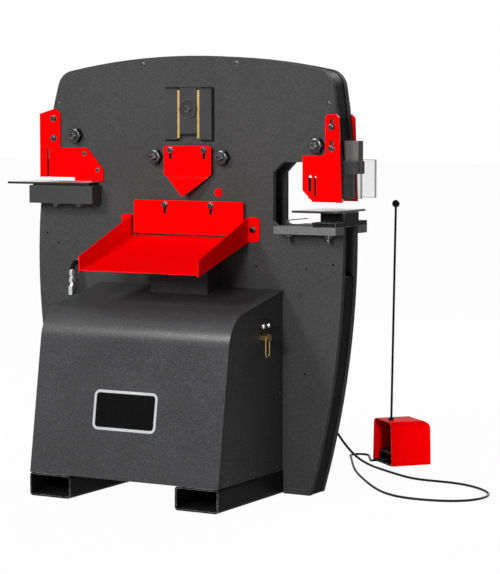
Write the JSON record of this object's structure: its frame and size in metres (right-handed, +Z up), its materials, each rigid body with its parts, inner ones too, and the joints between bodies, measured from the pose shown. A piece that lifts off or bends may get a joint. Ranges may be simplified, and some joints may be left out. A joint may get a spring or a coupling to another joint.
{
  "type": "ironworker machine",
  "caption": "Hydraulic ironworker with twin arched frame plates, guided ram, punch and notch stations, red guards, a drop tray, a front cabinet and a corded foot pedal.",
  "frame": {"origin": "on the floor, midway between the frame plates, on the ram's centre line", "axes": "+Z up, +Y from the cabinet towards the back, +X towards the punching station"},
  "size_m": [1.652, 1.29, 1.42],
  "materials": {
    "plate_grey": "textured powder coat",
    "gloss_red": "gloss powder coat",
    "gloss_black": "gloss paint",
    "cabinet_grey": "textured powder coat",
    "tube_black": "satin paint",
    "ground_steel": "ground",
    "dark_steel": "blackened",
    "guide_steel": "milled",
    "tool_steel": "ground",
    "brass": "machined",
    "zinc_steel": "plated",
    "chrome": "polished",
    "clear_sheet": "clear polycarbonate",
    "rubber_black": "matte",
    "plastic_black": "polished",
    "plastic_matte": "fine grain",
    "motor_paint": "satin paint"
  },
  "bodies": {
    "frame": {"front_plate": "plate_grey", "rear_plate": "plate_grey", "frame_spacers": "dark_steel", "cover_bolts": "dark_steel", "guard_bolts": "dark_steel", "top_cover": "gloss_black", "side_covers": "gloss_black", "fork_tubes": "tube_black", "guide_bars": "guide_steel", "brass_gibs": "brass", "gib_screws": "dark_steel", "gib_lock_nuts": "dark_steel", "wear_pads": "brass", "cylinder_barrel": "motor_paint", "cylinder_gland": "dark_steel", "cylinder_pin": "dark_steel", "lower_blades": "tool_steel", "notch_die": "tool_steel", "punch_die": "tool_steel", "die_block": "tube_black", "punch_table": "ground_steel", "punch_bolsters": "plate_grey", "notch_table": "ground_steel", "notch_blocks": "plate_grey", "table_bolts": "dark_steel", "notch_guards": "gloss_red", "drop_tray": "gloss_red", "tray_support": "cabinet_grey", "cabinet_cover": "cabinet_grey", "cabinet_sides": "cabinet_grey", "cabinet_screws": "dark_steel", "reservoir": "motor_paint", "motor": "motor_paint", "hydraulic_hose": "rubber_black", "hose_fittings": "zinc_steel", "control_plate": "plastic_matte", "quick_coupler": "brass", "port_plug": "gloss_red", "gauge_rod": "dark_steel", "cord_gland": "plastic_matte", "pedal_cord": "rubber_black", "pedal_base": "tube_black", "pedal_shield": "gloss_red", "treadle_pin": "zinc_steel", "carry_rod": "tube_black", "ball_knob": "plastic_black"},
    "ram": {"ram_beam": "guide_steel", "slide_blocks": "guide_steel", "ram_pin": "dark_steel", "punch_holder": "dark_steel", "punch": "tool_steel", "upper_blades": "tool_steel", "piston_rod": "chrome"},
    "punch_guard": {"punch_guards": "gloss_red", "punch_shields": "clear_sheet"},
    "angle_guard": {"angle_guard": "gloss_red"},
    "bar_guard": {"bar_guard": "gloss_red"},
    "treadle": {"pedal_treadle": "tube_black"},
    "start_button": {"start_button": "chrome"},
    "stop_button": {"stop_button": "chrome"}
  },
  "joints": [
    {"name": "ram_slide", "type": "slide", "parent": "frame", "child": "ram", "axis": [0, 0, -1], "range_m": [0, 0.025]},
    {"name": "punch_guard_slide", "type": "slide", "parent": "frame", "child": "punch_guard", "axis": [0, 0, -1], "range_m": [0, 0.02]},
    {"name": "angle_guard_slide", "type": "slide", "parent": "frame", "child": "angle_guard", "axis": [0, 0, 1], "range_m": [0, 0.025]},
    {"name": "bar_guard_slide", "type": "slide", "parent": "frame", "child": "bar_guard", "axis": [0, 0, 1], "range_m": [0, 0.025]},
    {"name": "treadle_hinge", "type": "hinge", "parent": "frame", "child": "treadle", "pos_m": [0.39168, 0.66764, 0.034], "axis": [-0.7547, 0.6561, 0], "range_deg": [0, 7], "stiffness_Nm_per_rad": 2.5, "springref_deg": -22.92},
    {"name": "start_press", "type": "slide", "parent": "frame", "child": "start_button", "axis": [-1, 0, 0], "range_m": [0, 0.003], "stiffness_N_per_m": 400, "springref_m": -0.002},
    {"name": "stop_press", "type": "slide", "parent": "frame", "child": "stop_button", "axis": [-1, 0, 0], "range_m": [0, 0.003], "stiffness_N_per_m": 400, "springref_m": -0.002}
  ]
}
